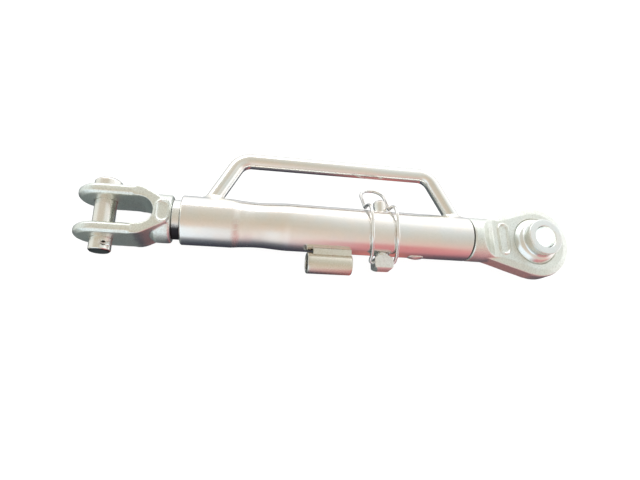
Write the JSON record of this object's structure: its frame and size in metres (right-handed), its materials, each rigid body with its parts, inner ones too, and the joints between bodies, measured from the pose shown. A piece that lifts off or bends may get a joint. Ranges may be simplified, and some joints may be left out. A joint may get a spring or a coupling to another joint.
{
  "type": "telescopic turnbuckle link",
  "caption": "Telescopic turnbuckle link with a screwed clevis, a sliding ball eye, a bent carrying handle, a parking sleeve and a wire-locked cross pin.",
  "frame": {"origin": "centre of the ball in the eye, on the barrel axis", "axes": "+X along the barrel out of the eye end, away from the clevis; +Y towards the carrying handle; +Z along the bore of the ball"},
  "size_m": [0.5516, 0.1346, 0.061],
  "materials": {
    "zinc_tube": "bright zinc plate on drawn tube, glossy",
    "zinc_rod": "bright zinc plate on round bar, glossy",
    "zinc_sleeve": "bright zinc plate with a slight yellow tint",
    "zinc_forging": "bright zinc plate on a shot-blasted drop forging, fine grain",
    "zinc_turned": "bright zinc plate on turned steel",
    "zinc_ball": "bright zinc plate on a machined ball, satin hubs",
    "zinc_wire": "bright zinc plated spring wire",
    "weld_bead": "zinc plated weld bead",
    "dark_steel": "oiled machined steel"
  },
  "bodies": {
    "barrel": {"barrel_tube": "zinc_tube", "threaded_bush": "dark_steel", "guide_bush": "dark_steel", "guide_plug": "weld_bead", "handle_rod": "zinc_rod", "handle_weld_left": "weld_bead", "handle_weld_right": "weld_bead", "parking_sleeve": "zinc_sleeve", "parking_plate": "zinc_sleeve", "parking_weld": "weld_bead"},
    "ring": {"lock_ring": "zinc_turned"},
    "clevis": {"clevis_fork": "zinc_forging", "threaded_spindle": "dark_steel", "spindle_stop": "dark_steel"},
    "fork_pin": {"clevis_pin": "zinc_turned", "split_pin": "zinc_wire"},
    "eye_bar": {"eye_forging": "zinc_forging", "eye_shank": "dark_steel"},
    "ball": {"ball": "zinc_ball"},
    "lock_pin": {"lock_pin_shank": "zinc_turned", "lock_pin_head": "zinc_forging"},
    "wire": {"lock_wire": "zinc_wire"}
  },
  "joints": [
    {"name": "clevis_travel", "type": "slide", "parent": "barrel", "child": "ring", "axis": [-1, 0, 0], "range_m": [0, 0.06]},
    {"name": "clevis_turn", "type": "hinge", "parent": "ring", "child": "clevis", "pos_m": [-0.4144, 0, 0], "axis": [-1, 0, 0], "range_deg": [0, 7200]},
    {"name": "fork_pin_turn", "type": "hinge", "parent": "clevis", "child": "fork_pin", "pos_m": [-0.4806, 0, 0], "axis": [0, 1, 0], "continuous": true},
    {"name": "eye_slide", "type": "slide", "parent": "barrel", "child": "eye_bar", "axis": [1, 0, 0], "range_m": [0, 0.04]},
    {"name": "ball_tilt", "type": "hinge", "parent": "eye_bar", "child": "ball", "pos_m": [0, 0, 0], "axis": [0, 1, 0], "range_deg": [-20, 20]},
    {"name": "lock_pin_slide", "type": "slide", "parent": "barrel", "child": "lock_pin", "axis": [0, -1, 0], "range_m": [0, 0.036]},
    {"name": "wire_swing", "type": "hinge", "parent": "lock_pin", "child": "wire", "pos_m": [-0.1892, -0.034, 0], "axis": [1, 0, 0], "range_deg": [0, 160]}
  ],
  "couplings": [
    {"joint": "clevis_travel", "follows": "clevis_turn", "m_per_rad": 0.00047746},
    {"joint": "wire_swing", "follows": "lock_pin_slide", "rad_per_m": 77.569}
  ]
}
